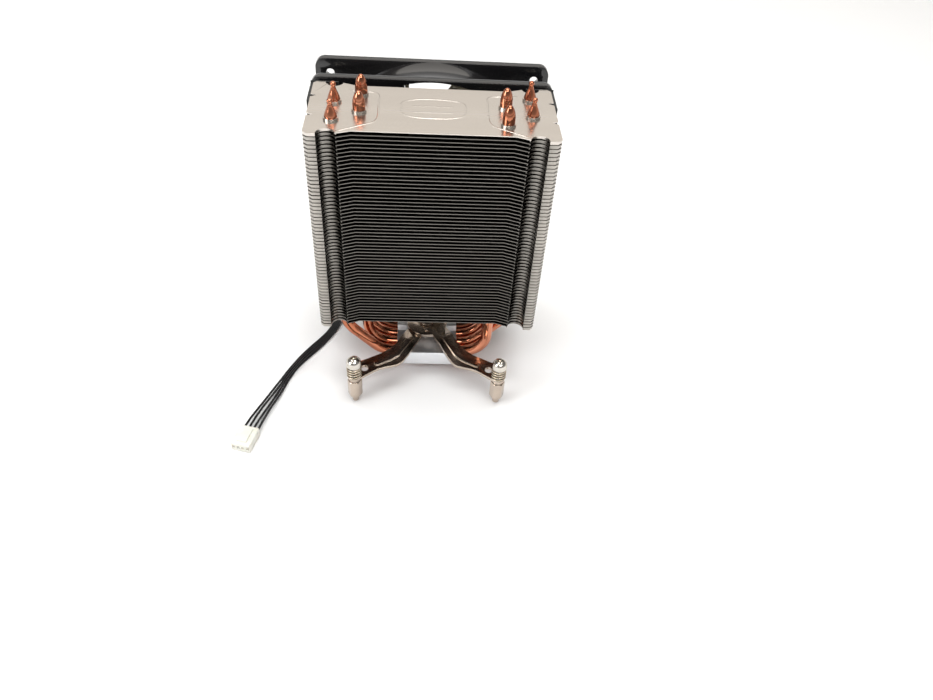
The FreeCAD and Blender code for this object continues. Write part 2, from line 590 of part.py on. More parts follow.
def posts():
    reach, arm_top = size("screw_reach"), size("arm_low_top")
    arm_under = arm_top - size("arm_gauge")
    shank, thread, groove = size("shank_radius"), size("thread_radius"), size("groove_radius")
    head_low, head_r, head_h = size("head_low"), size("head_radius"), size("head_high")
    ring_top = arm_under - 0.1
    ring_low = ring_top - size("ring_gauge")
    top, low, floor = size("standoff_top"), size("standoff_low"), size("floor_level")
    for name, sx, sy in POSTS:
        centre = V(sx * reach, sy * reach, 0)
        end = top - 6.0
        profile = [(0, end), (thread, end), (thread, ring_low - 0.05), (groove, ring_low - 0.05),
                   (groove, ring_top + 0.05), (shank, ring_top + 0.05), (shank, head_low - 0.9),
                   (2.8, head_low - 0.9), (2.8, head_low), (head_r, head_low)]
        profile += [(head_r * r, head_low + head_h * h) for r, h in
                    ((1, 0.38), (0.97, 0.54), (0.87, 0.7), (0.7, 0.84), (0.46, 0.95), (0.24, 1), (0, 1))]
        screw = turned(profile, centre)
        slot_low = head_low + head_h - 1.9
        for dx, dy in ((2.1, 0.45), (0.45, 2.1)):
            screw = screw.cut(Part.makeBox(2 * dx, 2 * dy, 3, centre + V(-dx, -dy, slot_low)))
        feature(f"screw_{name}", screw.removeSplitter())

        ring = Part.makeCylinder(3.2, size("ring_gauge"), centre + V(0, 0, ring_low)).cut(
            Part.makeCylinder(groove + 0.02, 2, centre + V(0, 0, ring_low - 0.5))).cut(
            Part.makeBox(2.2, 5, 2, centre + V(-1.1, 0, ring_low - 0.5)))
        feature(f"retaining_ring_{name}", ring)

        across = size("standoff_across")
        corner = across / math.sqrt(3)
        hexagon = [centre + V(corner * math.cos(math.radians(60 * i)), corner * math.sin(math.radians(60 * i)),
                              low) for i in range(7)]
        body = Part.Face(Part.makePolygon(hexagon)).extrude(V(0, 0, top - low))
        body = body.common(turned([(0, low), (corner - 0.5, low), (corner, low + 0.5), (corner, top - 0.5),
                                   (corner - 0.5, top), (0, top)], centre))
        stud = turned([(0, floor), (size("stud_radius") - 0.4, floor), (size("stud_radius"), floor + 0.4),
                       (size("stud_radius"), low + 0.5), (0, low + 0.5)], centre)
        bore = Part.makeCylinder(thread + 0.05, 8, centre + V(0, 0, top - 6.6))
        feature(f"standoff_{name}", body.fuse(stud).cut(bore).removeSplitter())

        wire, mean = size("spring_wire") / 2, size("spring_radius")
        rise = head_low - arm_top - 2 * wire - 0.1
        helix = Part.makeHelix(rise / size("spring_turns"), rise, mean)
        coil = Part.Wire(helix).makePipeShell(
            [Part.Wire([Part.Circle(V(mean, 0, 0), V(0, 1, 0), wire).toShape()])], True, True)
        coil.translate(V(sx * sy * -reach, -reach, arm_top + wire + 0.05))
        if sy > 0:
            coil.rotate(V(), V(0, 0, 1), 180)
        feature(f"spring_{name}", coil)


# ---------------------------------------------------------------- fan lead and its plug
# A flat four-wire lead leaves the frame at the duct, drops to the surface, runs behind and round the left
# side, and ends in a four-way plug that lies on its side.
LEAD_ROUTE = [
    V(49.0, 38.7, 54.0), V(49.6, 39.0, 36.0), V(51.5, 42.0, 18.0), V(52.0, 49.0, 2.0), V(46.0, 60.0, -7.5),
    V(31.0, 67.0, -7.5), V(10.0, 66.0, -7.5), V(-12.0, 68.5, -7.5), V(-34.0, 65.5, -7.5),
    V(-50.0, 53.0, -7.5), V(-53.5, 36.0, -7.5), V(-57.0, 17.5, -7.5), V(-66.5, 0.0, -7.5),
    V(-77.0, -17.0, -7.5), V(-84.5, -37.0, -7.5), V(-92.0, -56.0, -7.5), V(-94.6, -66.0, -7.5)]


def fan_lead():
    runs = [(b - a).Length for a, b in zip(LEAD_ROUTE, LEAD_ROUTE[1:])]
    radii = [0]
    for i in range(1, len(LEAD_ROUTE) - 1):
        turn = (LEAD_ROUTE[i] - LEAD_ROUTE[i - 1]).getAngle(LEAD_ROUTE[i + 1] - LEAD_ROUTE[i])
        radii.append(0.45 * min(runs[i - 1], runs[i]) / math.tan(turn / 2))
    radii.append(0)
    path = rounded_path(LEAD_ROUTE, radii)
    print("lead radii", [round(r, 1) for r in radii[1:-1]], "length", round(path.Length, 1))
    feature("fan_lead", swept_tube(path, size("lead_radius")))

    wide, long, high = size("plug_wide"), size("plug_long"), size("plug_high")
    end, before = LEAD_ROUTE[-1], LEAD_ROUTE[-2]
    heading = (end - before).normalize()
    turn = FreeCAD.Rotation(V(0, 1, 0), heading)
    place = FreeCAD.Placement(V(end.x, end.y, size("floor_level")), turn)
    shell = Part.makeBox(wide, long, high, V(-wide / 2, 0, 0))
    key = Part.makeBox(5.4, long - 4, 0.9, V(-2.7, 2, high))
    plug = shell.fuse(key)
    contacts = []
    for i in range(4):
        x = (i - 1.5) * 2.54
        plug = plug.cut(Part.makeBox(1.7, long + 2, 1.9, V(x - 0.85, -1, 1.7)))
        contacts.append(Part.makeBox(1.2, 8.0, 1.3, V(x - 0.6, 3.5, 2.0)))
    plug.Placement = place
    feature("lead_plug", plug.removeSplitter())
    for contact in contacts:
        contact.Placement = place.multiply(contact.Placement)
    feature("plug_contacts", Part.makeCompound(contacts))


# ---------------------------------------------------------------- assembly
base_block()
for pipe in range(4):
    feature(f"heat_pipe_{pipe + 1}", heat_pipe(pipe))
fins()
fan_frame()
stator()
rotor()
clips()
upper_lift = size("arm_gauge") + size("arm_stack_gap")
bracket_arm("bracket_arm_lower", 0.0, mirrored=True, disc=8.5)
bracket_arm("bracket_arm_upper", upper_lift, mirrored=False, disc=size("disc_radius"))
posts()
fan_lead()
doc.recompute()

for obj in doc.Objects:
    if "Invalid" in obj.State or "Error" in obj.State:
        raise RuntimeError(f"{obj.Label} failed to recompute: {obj.State}")
os.makedirs("parts", exist_ok=True)
for obj in nodes:
    if obj.Shape.isNull() or not obj.Shape.isValid() or not obj.Shape.Solids:
        raise RuntimeError(f"{obj.Label} is not a valid solid")
    obj.Shape.exportStep(f"parts/{obj.Label}.step")
print(len(nodes), "sub-parts")
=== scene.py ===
import math

import bmesh
import bpy
import numpy as np
from mathutils import Matrix, Vector
from mathutils.geometry import tessellate_polygon


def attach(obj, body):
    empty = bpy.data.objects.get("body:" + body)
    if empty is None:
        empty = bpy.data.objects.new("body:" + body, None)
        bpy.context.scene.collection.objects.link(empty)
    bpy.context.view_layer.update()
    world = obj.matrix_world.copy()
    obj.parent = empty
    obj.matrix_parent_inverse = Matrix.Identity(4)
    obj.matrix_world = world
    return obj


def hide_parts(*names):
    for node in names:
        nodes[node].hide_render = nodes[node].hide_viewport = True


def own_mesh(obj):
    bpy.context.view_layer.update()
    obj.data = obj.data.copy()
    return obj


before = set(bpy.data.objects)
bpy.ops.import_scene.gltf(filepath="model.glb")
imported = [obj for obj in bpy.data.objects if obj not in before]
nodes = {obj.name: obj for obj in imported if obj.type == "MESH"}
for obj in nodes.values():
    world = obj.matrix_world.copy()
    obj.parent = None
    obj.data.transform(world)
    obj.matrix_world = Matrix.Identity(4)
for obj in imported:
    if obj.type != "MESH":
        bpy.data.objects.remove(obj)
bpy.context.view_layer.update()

MM = 0.001

# ---------------------------------------------------------------- view, surface and light
# The cooler stands on a pale sheet under two soft boxes, seen from the front and well above, with the camera
# turned a little to the right and leaning a little.
YAW, PITCH, ROLL = (math.radians(a) for a in (5.25, 44.17, 4.66))
EYE, FOCAL_MM, SENSOR_MM = (-0.0061, -0.3345, 0.3186), 29.47, 36.0
ahead = np.array([math.sin(YAW) * math.cos(PITCH), math.cos(YAW) * math.cos(PITCH), -math.sin(PITCH)])
level = np.array([math.cos(YAW), -math.sin(YAW), 0.0])
above = np.cross(level, ahead)
rightward = math.cos(ROLL) * level + math.sin(ROLL) * above
upward = -math.sin(ROLL) * level + math.cos(ROLL) * above
lens = bpy.data.cameras.new("view")
lens.lens, lens.sensor_width = FOCAL_MM, SENSOR_MM
lens.clip_start = 0.02
view = bpy.data.objects.new("view", lens)
view.matrix_world = Matrix([[*row, place] for row, place in zip(
    np.column_stack([rightward, upward, -ahead]), EYE)] + [[0, 0, 0, 1]])
bpy.context.collection.objects.link(view)
bpy.context.scene.camera = view

FLOOR = -0.009


def new_mesh(name, points, faces, material=None, body=None, crease=40):
    """An object at the origin from an array of points and lists of faces, smooth but for its sharp edges."""
    mesh = bpy.data.meshes.new(name)
    mesh.from_pydata(np.asarray(points, float).reshape(-1, 3).tolist(), [], faces)
    mesh.update()
    mesh.shade_smooth()
    mesh.set_sharp_from_angle(angle=math.radians(crease))
    piece = bpy.data.objects.new(name, mesh)
    bpy.context.collection.objects.link(piece)
    if material:
        mesh.materials.append(material)
    if body:
        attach(piece, body)
    return piece


def shader(name, colour, metallic=0.0, roughness=0.5, **sockets):
    """A plain finish: its shader, its node tree and its Object coordinates, for each piece to add detail to."""
    material = bpy.data.materials.new(name)
    material.use_nodes = True
    tree = material.node_tree
    surface = tree.nodes["Principled BSDF"]
    surface.inputs["Base Color"].default_value = (*colour, 1)
    surface.inputs["Metallic"].default_value = metallic
    surface.inputs["Roughness"].default_value = roughness
    for socket, value in sockets.items():
        surface.inputs[socket.replace("_", " ")].default_value = value
    place = tree.nodes.new("ShaderNodeTexCoord").outputs["Object"]
    return material, tree, surface, place


sheet = new_mesh("floor", [(-5, -5, FLOOR), (5, -5, FLOOR), (5, 5, FLOOR), (-5, 5, FLOOR)], [(0, 1, 2, 3)])
sheet.data.materials.append(shader("pale_floor", (0.93, 0.93, 0.93), roughness=0.7)[0])

world = bpy.data.worlds.new("room")
world.use_nodes = True
air = world.node_tree
sky = air.nodes["Background"]
height = air.nodes.new("ShaderNodeSeparateXYZ")
air.links.new(air.nodes.new("ShaderNodeTexCoord").outputs["Generated"], height.inputs[0])
bands = air.nodes.new("ShaderNodeValToRGB")
bands.color_ramp.elements[0].position, bands.color_ramp.elements[0].color = 0.40, (0.86, 0.86, 0.87, 1)
bands.color_ramp.elements[1].position, bands.color_ramp.elements[1].color = 1.0, (0.50, 0.49, 0.47, 1)
for at, tone in ((0.52, 0.78), (0.60, 0.36), (0.72, 0.20), (0.92, 0.24)):
    bands.color_ramp.elements.new(at).color = (tone, tone * 0.985, tone * 0.97, 1)
scaled = air.nodes.new("ShaderNodeMath")
scaled.operation = "MULTIPLY_ADD"
scaled.inputs[1].default_value = scaled.inputs[2].default_value = 0.5
air.links.new(height.outputs["Z"], scaled.inputs[0])
air.links.new(scaled.outputs[0], bands.inputs["Fac"])
air.links.new(bands.outputs["Color"], sky.inputs["Color"])
sky.inputs["Strength"].default_value = 1.0
bpy.context.scene.world = world
bpy.context.scene.view_settings.view_transform = "Standard"


def soft_box(name, place, aim, wide, deep, watts, tint=(1, 1, 1)):
    """A rectangular lamp at one place that faces another."""
    lamp = bpy.data.lights.new(name, "AREA")
    lamp.shape, lamp.size, lamp.size_y, lamp.energy, lamp.color = "RECTANGLE", wide, deep, watts, tint
    holder = bpy.data.objects.new(name, lamp)
    holder.location = place
    holder.rotation_euler = (Vector(aim) - Vector(place)).to_track_quat("-Z", "Y").to_euler()
    bpy.context.collection.objects.link(holder)


soft_box("ceiling", (0.0, 0.1, 1.5), (0, 0, 0.05), 1.3, 0.8, 17, (1.0, 0.99, 0.97))
soft_box("back_wall", (0.12, 1.35, 1.35), (0.01, 0.0, 0.15), 2.6, 1.5, 9, (1.0, 0.95, 0.88))
soft_box("window", (-1.1, -0.6, 0.8), (0, 0, 0.05), 0.6, 0.9, 9, (0.96, 0.98, 1.0))
soft_box("front_top", (0.3, -0.9, 1.25), (0, 0, 0.03), 0.9, 0.35, 7)

# ---------------------------------------------------------------- fan lead
# Four thin insulated wires joined side by side leave the fan frame, drop to the surface, pass behind and round
# the left side, and spread into the slots of the plug. The ribbon turns on its edge part of the way along.
LEAD_ROUTE = [
    (0.0490, 0.0387, 0.0540), (0.0496, 0.0390, 0.0360), (0.0515, 0.0420, 0.0180), (0.0520, 0.0490, 0.0020),
    (0.0460, 0.0600, -0.0075), (0.0310, 0.0670, -0.0075), (0.0100, 0.0660, -0.0075),
    (-0.0120, 0.0685, -0.0075), (-0.0340, 0.0655, -0.0075), (-0.0500, 0.0530, -0.0075),
    (-0.0535, 0.0360, -0.0075), (-0.0570, 0.0175, -0.0075), (-0.0665, 0.0000, -0.0075),
    (-0.0770, -0.0170, -0.0075), (-0.0845, -0.0370, -0.0075), (-0.0920, -0.0560, -0.0075),
    (-0.0946, -0.0660, -0.0075)]
WIRE_R, WIRE_PITCH, PLUG_PITCH = 0.66 * MM, 1.32 * MM, 2.54 * MM
SLOT_HIGH = 2.65 * MM
# Distances back from the plug, in metres: where the ribbon leans most each way, how far that lean reaches, and
# where its wires start to part.
ON_EDGE, LEAN_BACK, PARTING = (0.052, 0.022, math.radians(72)), (0.115, 0.02, math.radians(20)), 0.042

line = bpy.data.curves.new("lead_line", "CURVE")
line.dimensions, line.resolution_u = "3D", 16
spline = line.splines.new("NURBS")
spline.points.add(len(LEAD_ROUTE) - 1)
spline.points.foreach_set("co", np.column_stack([LEAD_ROUTE, np.ones(len(LEAD_ROUTE))]).ravel())
spline.order_u, spline.use_endpoint_u = 3, True
line_object = bpy.data.objects.new("lead_line", line)
line_mesh = bpy.data.meshes.new_from_object(line_object)
lead_line = np.array([v.co for v in line_mesh.vertices])
bpy.data.objects.remove(line_object)


def evenly(points, count):
    """The same line with stations an equal distance apart, and that distance from the start at each."""
    run = np.concatenate([[0], np.cumsum(np.linalg.norm(np.diff(points, axis=0), axis=1))])
    at = np.linspace(0, run[-1], count)
    return np.column_stack([np.interp(at, run, points[:, k]) for k in range(3)]), at


def unit(vectors):
    """Each vector divided by its own length."""
    return vectors / np.linalg.norm(vectors, axis=-1, keepdims=True)


def tube(path, first, second, radius, sides=12):
    """Rings round a path: centre + radius (cos a . first + sin a . second), closed at both ends by a cap."""
    angle = np.linspace(0, 2 * math.pi, sides, endpoint=False)
    radius = np.broadcast_to(np.asarray(radius, float), (len(path),))
    ring = np.cos(angle)[None, :, None] * first[:, None] + np.sin(angle)[None, :, None] * second[:, None]
    return (path[:, None] + radius[:, None, None] * ring).reshape(-1, 3), ring_faces(len(path), sides)


def ring_faces(rings, sides, caps=True):
    """Quads between neighbouring rings, and a cap on the first and the last."""
    row, side = np.meshgrid(np.arange(rings - 1), np.arange(sides), indexing="ij")
    after = (side + 1) % sides
    quads = np.stack([row * sides + side, row * sides + after, (row + 1) * sides + after,
                      (row + 1) * sides + side], -1).reshape(-1, 4).tolist()
    if caps:
        quads += [list(range(sides))[::-1], list(range((rings - 1) * sides, rings * sides))]
    return quads


def joined(parts):
    """Several sets of points and faces as one."""
    points, faces, start = [], [], 0
    for some, loops in parts:
        points.append(some)
        faces += [[i + start for i in loop] for loop in loops]
        start += len(some)
    return np.concatenate(points), faces


def carried(path):
    """A side direction at each station, level at the last one and carried back along the path without twist."""
    heading = unit(np.gradient(path, axis=0))
    side = np.zeros_like(path)
    side[-1] = unit(np.cross(heading[-1], (0, 0, 1)))
    for i in range(len(path) - 2, -1, -1):
        side[i] = unit(side[i + 1] - heading[i] * (side[i + 1] @ heading[i]))
    return side, np.cross(side, heading)


lead_path, lead_at = evenly(lead_line, 260)
lead_left = lead_at[-1] - lead_at
across, over = carried(lead_path)
roll, counter_roll = (angle * np.exp(-((lead_left - at) / reach) ** 2) for at, reach, angle in (ON_EDGE, LEAN_BACK))
roll = roll - counter_roll
flat = np.cos(roll)[:, None] * across + np.sin(roll)[:, None] * over
stand = np.cos(roll)[:, None] * over - np.sin(roll)[:, None] * across
near_plug = np.clip(1 - lead_left / PARTING, 0, 1)
spread = near_plug ** 2 * (3 - 2 * near_plug)
pitch = WIRE_PITCH + (PLUG_PITCH - WIRE_PITCH) * spread
on_floor = np.clip((0.006 - (lead_path[:, 2] - FLOOR)) / 0.003, 0, 1)
rest_high = FLOOR + WIRE_R + 1.5 * pitch * np.abs(np.sin(roll)) + (SLOT_HIGH - WIRE_R) * spread
middle = lead_path.copy()
middle[:, 2] += (rest_high - middle[:, 2]) * on_floor
wires = []
for i in range(4):
    apart = (i - 1.5) * pitch
    fan_out = spread * (1 - spread) * (2.0 * MM) * (-1) ** i
    wire = middle + apart[:, None] * flat + fan_out[:, None] * stand
    wires.append(tube(wire, flat, stand, WIRE_R, 10))
pvc, tree, surface, place = shader("black_lead_insulation", (0.014, 0.014, 0.016), roughness=0.26)
grain = tree.nodes.new("ShaderNodeTexNoise")
grain.inputs["Scale"].default_value = 900
tree.links.new(place, grain.inputs["Vector"])
dent = tree.nodes.new("ShaderNodeBump")
dent.inputs["Strength"].default_value, dent.inputs["Distance"].default_value = 0.15, 0.0002
tree.links.new(grain.outputs["Fac"], dent.inputs["Height"])
tree.links.new(dent.outputs["Normal"], surface.inputs["Normal"])
lead = new_mesh("fan_lead_wires", *joined(wires), pvc, "tower")
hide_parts("fan_lead")


def worn(material, tree, surface, place, scale, tones, rough=None, bump=0.0, stretch=(1, 1, 1), detail=4):
    """Uneven tone, gloss and relief from one stretched noise in the piece's own space."""
    turned = tree.nodes.new("ShaderNodeMapping")
    turned.inputs["Scale"].default_value = stretch
    tree.links.new(place, turned.inputs["Vector"])
    noise = tree.nodes.new("ShaderNodeTexNoise")
    noise.inputs["Scale"].default_value, noise.inputs["Detail"].default_value = scale, detail
    tree.links.new(turned.outputs[0], noise.inputs["Vector"])
    ramp = tree.nodes.new("ShaderNodeValToRGB")
    ramp.color_ramp.elements[0].position, ramp.color_ramp.elements[1].position = 0.3, 0.7
    ramp.color_ramp.elements[0].color, ramp.color_ramp.elements[1].color = (*tones[0], 1), (*tones[1], 1)
    tree.links.new(noise.outputs["Fac"], ramp.inputs["Fac"])
    tree.links.new(ramp.outputs["Color"], surface.inputs["Base Color"])
    if rough:
        gloss = tree.nodes.new("ShaderNodeMapRange")
        gloss.inputs["From Min"].default_value, gloss.inputs["From Max"].default_value = 0.3, 0.7
        gloss.inputs["To Min"].default_value, gloss.inputs["To Max"].default_value = rough
        tree.links.new(noise.outputs["Fac"], gloss.inputs["Value"])
        tree.links.new(gloss.outputs[0], surface.inputs["Roughness"])
    if bump:
        relief = tree.nodes.new("ShaderNodeBump")
        relief.inputs["Strength"].default_value, relief.inputs["Distance"].default_value = 0.5, bump
        tree.links.new(noise.outputs["Fac"], relief.inputs["Height"])
        tree.links.new(relief.outputs["Normal"], surface.inputs["Normal"])
    return material


def softened(node, name, material, width, body, steps=2, angle=32, crease=38):
    """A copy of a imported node, merged into whole faces, with its edges rounded, in place of the node."""
    mesh = nodes[node].data.copy()
    form = bmesh.new()
    form.from_mesh(mesh)
    bmesh.ops.remove_doubles(form, verts=form.verts, dist=1e-6)
    bmesh.ops.dissolve_limit(form, angle_limit=math.radians(1.0), verts=form.verts, edges=form.edges)
    form.to_mesh(mesh)
    form.free()
    mesh.materials.clear()
    mesh.materials.append(material)
    piece = bpy.data.objects.new(name, mesh)
    bpy.context.collection.objects.link(piece)
    edge = piece.modifiers.new("rounded_edges", "BEVEL")
    edge.width, edge.segments, edge.limit_method = width, steps, "ANGLE"
    edge.angle_limit, edge.use_clamp_overlap, edge.miter_outer = math.radians(angle), True, "MITER_ARC"
    bpy.context.view_layer.update()
    done = bpy.data.meshes.new_from_object(piece.evaluated_get(bpy.context.evaluated_depsgraph_get()))
    piece.modifiers.clear()
    piece.data = done
    done.name = name
    done.shade_smooth()
    done.set_sharp_from_angle(angle=math.radians(crease))
    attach(piece, body)
    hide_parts(node)
    return piece


# The plug is a four-way nylon housing with a slot over each wire and tin plated contacts inside.
nylon = worn(*shader("natural_nylon", (0.86, 0.82, 0.73), roughness=0.42, Subsurface_Weight=0.08),
             scale=260, tones=((0.80, 0.76, 0.66), (0.88, 0.85, 0.77)), rough=(0.36, 0.5), bump=0.00005)
tin = worn(*shader("tin_plate", (0.75, 0.74, 0.72), 1.0, 0.25), scale=500,
           tones=((0.62, 0.61, 0.58), (0.80, 0.79, 0.77)), rough=(0.2, 0.4))
plug = softened("lead_plug", "plug_housing", nylon, 0.22 * MM, "tower")
contacts = softened("plug_contacts", "plug_pins", tin, 0.1 * MM, "tower", steps=1)

# ---------------------------------------------------------------- heat pipes
# Copper tubes of 6 mm, each bent into an uneven U through the block. The far end of each is drawn down to a
# neck and sealed with a bead of metal, and the near end is closed to a blunt point.
PIPE_R, FIN_TOP = 3.0, 149.0


def rounded_run(corners, radii, steps=16):
    """Straight runs through the corners, each corner turned into an arc that meets both runs squarely."""
    corners = np.asarray(corners, float)
    stations = [corners[:1]]
    for here, before, after, radius in zip(corners[1:-1], corners, corners[2:], radii):
        back, on = unit(before - here), unit(after - here)
        half = math.acos(float(np.clip(back @ on, -1, 1))) / 2
        centre = here + unit(back + on) * radius / math.sin(half)
        start = here + back * radius / math.tan(half)
        sweep = np.linspace(0, math.pi - 2 * half, steps)[:, None]
        stations.append(centre + (start - centre) * np.cos(sweep) - back * radius * np.sin(sweep))
    return np.concatenate(stations + [corners[-1:]])


def flowing(knots, count):
    """A smooth curve through the knots, each piece a cubic that takes its slopes from the knots beside it."""
    knots = np.asarray(knots, float)
    padded = np.vstack([2 * knots[0] - knots[1], knots, 2 * knots[-1] - knots[-2]])
    at = np.linspace(0, len(knots) - 1, count)
    i = np.minimum(at.astype(int), len(knots) - 2)
    t = (at - i)[:, None]
    a, b, c, d = (padded[i + k] for k in range(4))
    curve = 2 * b + (c - a) * t + (2 * a - 5 * b + 4 * c - d) * t ** 2 + (3 * b - a - 3 * c + d) * t ** 3
    return 0.5 * curve


DRAWN_TIP = flowing([(3.0, 0), (2.98, 1.4), (2.86, 2.3), (2.35, 3.8), (1.8, 5.2), (1.32, 6.5), (1.08, 7.5),
                     (1.06, 7.95), (1.28, 8.35), (1.36, 8.9), (1.2, 9.45), (0.8, 9.82), (0.25, 9.98)], 44)
BLUNT_TIP = flowing([(3.0, 0), (3.0, 2.6), (2.98, 4.2), (2.84, 5.4), (2.55, 6.7), (2.12, 7.9), (1.55, 9.0),
                     (1.0, 9.65), (0.5, 9.92), (0.15, 9.98)], 36)


def heat_pipe(k):
    """A ring of the local radius carried from the blunt tip down, through the block and up to the drawn tip."""
    row, side = 1.5 - k, (-1 if k % 2 == 0 else 1)
    base_y, fin_y = 6.9 * row, 8.5 * row
    axis, edge, near, far, far_start = 2.4, 17.25, 34.3, 46.5, 25.8
    lean_y = base_y + (fin_y - base_y) * 0.35
    run = rounded_run([(side * near, fin_y, FIN_TOP), (side * near, fin_y, axis), (side * edge, base_y, axis),
                       (-side * edge, base_y, axis), (-side * far_start, lean_y, axis),
                       (-side * far, fin_y, 25.3), (-side * far, fin_y, FIN_TOP)], [15, 12, 12, 14, 20])
    blunt, drawn = (np.column_stack([np.full(len(tip), x), np.full(len(tip), fin_y), FIN_TOP + tip[:, 1]])
                    for tip, x in ((BLUNT_TIP[::-1], side * near), (DRAWN_TIP, -side * far)))
    path = np.vstack([blunt[:-1], run, drawn[1:]])
    radius = np.concatenate([BLUNT_TIP[::-1, 0][:-1], np.full(len(run), PIPE_R), DRAWN_TIP[1:, 0]])
    heading = unit(np.gradient(path, axis=0))
    sideways = unit(np.array([0, 1.0, 0]) - heading * heading[:, 1:2])
    points, faces = tube(path, np.cross(sideways, heading), sideways, radius, 40)
    points[:, 2] = np.maximum(points[:, 2], 0.02)
    return points * MM, faces


copper, tree, surface, place = shader("polished_copper", (0.66, 0.27, 0.17), 1.0, 0.1)
worn(copper, tree, surface, place, 30, ((0.46, 0.155, 0.08), (0.70, 0.285, 0.17)), (0.04, 0.12), 0.000005,
     stretch=(1, 1, 0.3))
for k in range(4):
    pipe = new_mesh(f"copper_pipe_{k + 1}", *heat_pipe(k), copper, "tower", crease=50)
    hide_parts(f"heat_pipe_{k + 1}")

# ---------------------------------------------------------------- base block and pivot
# Milled aluminium, grooved for the pipes, with a boss for the bracket and a lug on each side that stops it.
milled = worn(*shader("milled_aluminium", (0.66, 0.68, 0.71), 1.0, 0.34), scale=45,
              tones=((0.72, 0.73, 0.75), (0.88, 0.89, 0.91)), rough=(0.32, 0.5), bump=0.00004,
              stretch=(0.2, 6, 1))
softened("base_block", "cold_plate_block", milled, 0.35 * MM, "tower")
smoked = worn(*shader("smoked_nickel_plate", (0.36, 0.29, 0.22), 1.0, 0.14), scale=60,
              tones=((0.40, 0.325, 0.265), (0.60, 0.51, 0.43)), rough=(0.10, 0.22), bump=0.00002)
nickel = worn(*shader("polished_nickel", (0.70, 0.66, 0.60), 1.0, 0.12), scale=220,
              tones=((0.60, 0.55, 0.48), (0.80, 0.76, 0.70)), rough=(0.08, 0.18), bump=0.00002)
softened("bracket_pivot", "pivot_rivet", smoked, 0.3 * MM, "tower", steps=3)

# ---------------------------------------------------------------- crossing bracket
# Two pressed steel arms plated in black nickel, each with a raised rib, an elbow and a broad ear.
softened("bracket_arm_lower", "bracket_lower", smoked, 0.45 * MM, "arm_lower", steps=3)
softened("bracket_arm_upper", "bracket_upper", smoked, 0.45 * MM, "arm_upper", steps=3)

# ---------------------------------------------------------------- spring screws and standoffs
# Domed cross slot screws with a coil spring under each head, held in the arm by a ring, in hexagonal standoffs.
wire_steel = worn(*shader("plated_spring_wire", (0.62, 0.55, 0.44), 1.0, 0.18), scale=300,
                  tones=((0.52, 0.45, 0.34), (0.74, 0.66, 0.54)), rough=(0.14, 0.26))
POSTS = {"front_left": (-1, -1, "arm_lower"), "front_right": (1, -1, "arm_upper"),
         "rear_left": (-1, 1, "arm_upper"), "rear_right": (1, 1, "arm_lower")}
SPRING_LOW, SPRING_HIGH, SPRING_R, COIL_R, TURNS, TRAVEL = 10.05, 18.35, 0.45, 3.7, 4.6, 2.5
REACH, COIL_STATIONS = 40.0, 260


def coil_spring(x, y):
    """A wire round a helix: centre + coil radius (cos a, sin a), and a climb that eases to nothing at each end."""
    at = np.linspace(0, 1, COIL_STATIONS)
    angle = at * 2 * math.pi * TURNS
    climb = np.cumsum(np.clip(np.minimum(at, 1 - at) / 0.15, 0.05, 1))
    climb = (climb - climb[0]) / (climb[-1] - climb[0])
    path = np.column_stack([x + COIL_R * np.cos(angle), y + COIL_R * np.sin(angle),
                            SPRING_LOW + SPRING_R + climb * (SPRING_HIGH - SPRING_LOW - 2 * SPRING_R)])
    heading = unit(np.gradient(path, axis=0))
    out = np.column_stack([np.cos(angle), np.sin(angle), 0 * angle])
    return tube(path, out, np.cross(heading, out), SPRING_R, 10)


for post, (sx, sy, arm) in POSTS.items():
    points, faces = coil_spring(REACH * sx, REACH * sy)
    spring = new_mesh(f"coil_spring_{post}", points * MM, faces, wire_steel, arm, crease=60)
    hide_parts(f"spring_{post}")
    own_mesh(spring)
    softened(f"screw_{post}", f"domed_screw_{post}", nickel, 0.22 * MM, f"turn_{post}", steps=2)
    softened(f"retaining_ring_{post}", f"snap_ring_{post}", smoked, 0.12 * MM,
             f"turn_{post}", steps=1)
    softened(f"standoff_{post}", f"hex_standoff_{post}", smoked, 0.25 * MM, f"post_{post}")

# ---------------------------------------------------------------- fins
# Stamped aluminium sheets with a short collar round each pipe. The wings and sides are folded down until they
# nearly meet the sheet below, so the corners look closed while the scalloped middle stays open.
FIN_GAUGE, FIN_LOW, FIN_COUNT, HOLE_R, FIN_Y = 0.45, 35.8, 57, 3.03, -1.3
FIN_PITCH = (FIN_TOP - FIN_LOW) / (FIN_COUNT - 1)
PIPE_SPOTS = [spot for k in range(4) for spot in (
    ((-1 if k % 2 == 0 else 1) * 34.3, 8.5 * (1.5 - k)), ((1 if k % 2 == 0 else -1) * 46.5, 8.5 * (1.5 - k)))]


def three_point_arc(a, b, c, count):
    """Points on the circle through three, from the first to the last by way of the middle one."""
    (ax, ay), (bx, by), (cx, cy) = a, b, c
    d = 2 * (ax * (by - cy) + bx * (cy - ay) + cx * (ay - by))
    ux = ((ax ** 2 + ay ** 2) * (by - cy) + (bx ** 2 + by ** 2) * (cy - ay) + (cx ** 2 + cy ** 2) * (ay - by)) / d
    uy = ((ax ** 2 + ay ** 2) * (cx - bx) + (bx ** 2 + by ** 2) * (ax - cx) + (cx ** 2 + cy ** 2) * (bx - ax)) / d
    ta, tb, tc = (math.atan2(y - uy, x - ux) for x, y in (a, b, c))
    sweep = (tc - ta) % (2 * math.pi)
    if (tb - ta) % (2 * math.pi) > sweep:
        sweep -= 2 * math.pi
    angle = ta + np.linspace(0, sweep, count)
    return np.column_stack([ux, uy]) + math.dist((ux, uy), a) * np.column_stack([np.cos(angle), np.sin(angle)])


WING_ARCH = three_point_arc((52.2, 25.5), (47.9, 20.8), (43.6, 24.5), 12)


